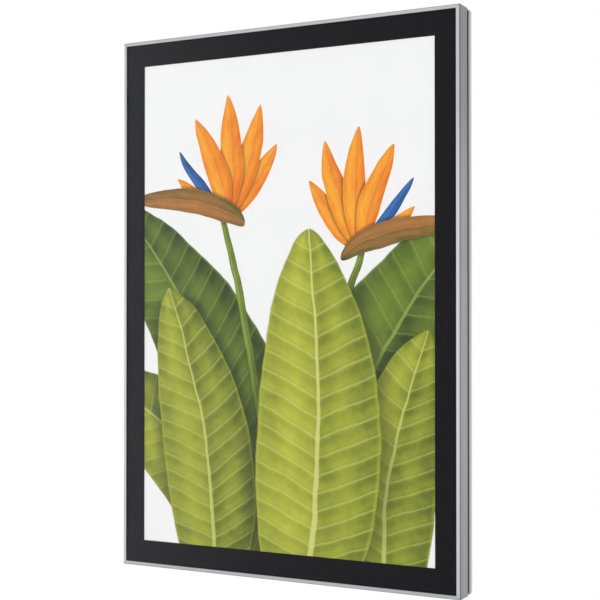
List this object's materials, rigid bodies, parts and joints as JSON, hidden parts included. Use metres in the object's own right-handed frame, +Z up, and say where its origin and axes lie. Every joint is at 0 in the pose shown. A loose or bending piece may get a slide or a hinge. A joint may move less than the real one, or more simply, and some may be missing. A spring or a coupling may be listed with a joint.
{
  "type": "backlit LED poster frame",
  "caption": "Wall-hung backlit LED poster frame: mitred silver profile, lift-off clear sheet with a black surround, poster, opal diffuser and LED bars on a rear cover.",
  "frame": {"origin": "centre of the rear cover's flat back, which lies on the wall", "axes": "+Z up, +X to the right seen from the front, +Y from the front of the frame into the wall"},
  "size_m": [0.6632, 0.048, 0.9102],
  "materials": {
    "aluminium_profile": "satin silver anodised extrusion",
    "plated_fixings": "zinc plated",
    "galvanised_steel": "galvanised sheet",
    "clear_acrylic": "clear, polished",
    "black_print": "black printed on the back of the clear sheet",
    "magnet_tape": "dark brown magnetic tape",
    "printed_film": "satin printed backlit film",
    "opal_acrylic": "opal white",
    "grey_plastic": "light grey moulded, fine texture",
    "black_foam": "closed-cell foam",
    "circuit_board": "white solder mask with clear lenses",
    "dark_plastic": "black moulded",
    "lead_jacket": "off-white PVC"
  },
  "bodies": {
    "housing": {"corner_key_bottom_left": "plated_fixings", "corner_key_bottom_right": "plated_fixings", "corner_key_top_left": "plated_fixings", "corner_key_top_right": "plated_fixings", "corner_screw_1": "plated_fixings", "corner_screw_2": "plated_fixings", "corner_screw_3": "plated_fixings", "corner_screw_4": "plated_fixings", "corner_screw_5": "plated_fixings", "corner_screw_6": "plated_fixings", "corner_screw_7": "plated_fixings", "corner_screw_8": "plated_fixings", "cover_screw_1": "plated_fixings", "cover_screw_2": "plated_fixings", "cover_screw_3": "plated_fixings", "cover_screw_4": "plated_fixings", "cover_screw_5": "plated_fixings", "cover_screw_6": "plated_fixings", "cover_screw_7": "plated_fixings", "cover_screw_8": "plated_fixings", "diffuser_sheet": "opal_acrylic", "frame_profile_bottom": "aluminium_profile", "frame_profile_left": "aluminium_profile", "frame_profile_right": "aluminium_profile", "frame_profile_top": "aluminium_profile", "inlet_nut": "plated_fixings", "keyhole_plate_left": "galvanised_steel", "keyhole_plate_right": "galvanised_steel", "led_bar_1": "circuit_board", "led_bar_2": "circuit_board", "led_bar_3": "circuit_board", "led_bar_4": "circuit_board", "led_bar_5": "circuit_board", "led_bar_6": "circuit_board", "light_seal": "black_foam", "link_lead_1": "lead_jacket", "link_lead_2": "lead_jacket", "link_lead_3": "lead_jacket", "link_lead_4": "lead_jacket", "link_lead_5": "lead_jacket", "plate_rivet_1": "plated_fixings", "plate_rivet_2": "plated_fixings", "plate_rivet_3": "plated_fixings", "plate_rivet_4": "plated_fixings", "power_inlet": "dark_plastic", "rear_cover": "grey_plastic", "steel_strip_bottom": "galvanised_steel", "steel_strip_left": "galvanised_steel", "steel_strip_right": "galvanised_steel", "steel_strip_top": "galvanised_steel", "supply_lead": "lead_jacket"},
    "front_cover": {"front_sheet": "clear_acrylic", "black_surround": "black_print", "magnet_strip_top": "magnet_tape", "magnet_strip_right": "magnet_tape", "magnet_strip_bottom": "magnet_tape", "magnet_strip_left": "magnet_tape"},
    "poster": {"poster_print": "printed_film"}
  },
  "joints": [
    {"name": "cover_lift", "type": "slide", "parent": "housing", "child": "front_cover", "axis": [0, -1, 0], "range_m": [0, 0.12]},
    {"name": "poster_lift", "type": "slide", "parent": "housing", "child": "poster", "axis": [0, -1, 0], "range_m": [0, 0.06]}
  ],
  "couplings": [
    {"joint": "poster_lift", "follows": "cover_lift", "ratio": 0.5}
  ]
}
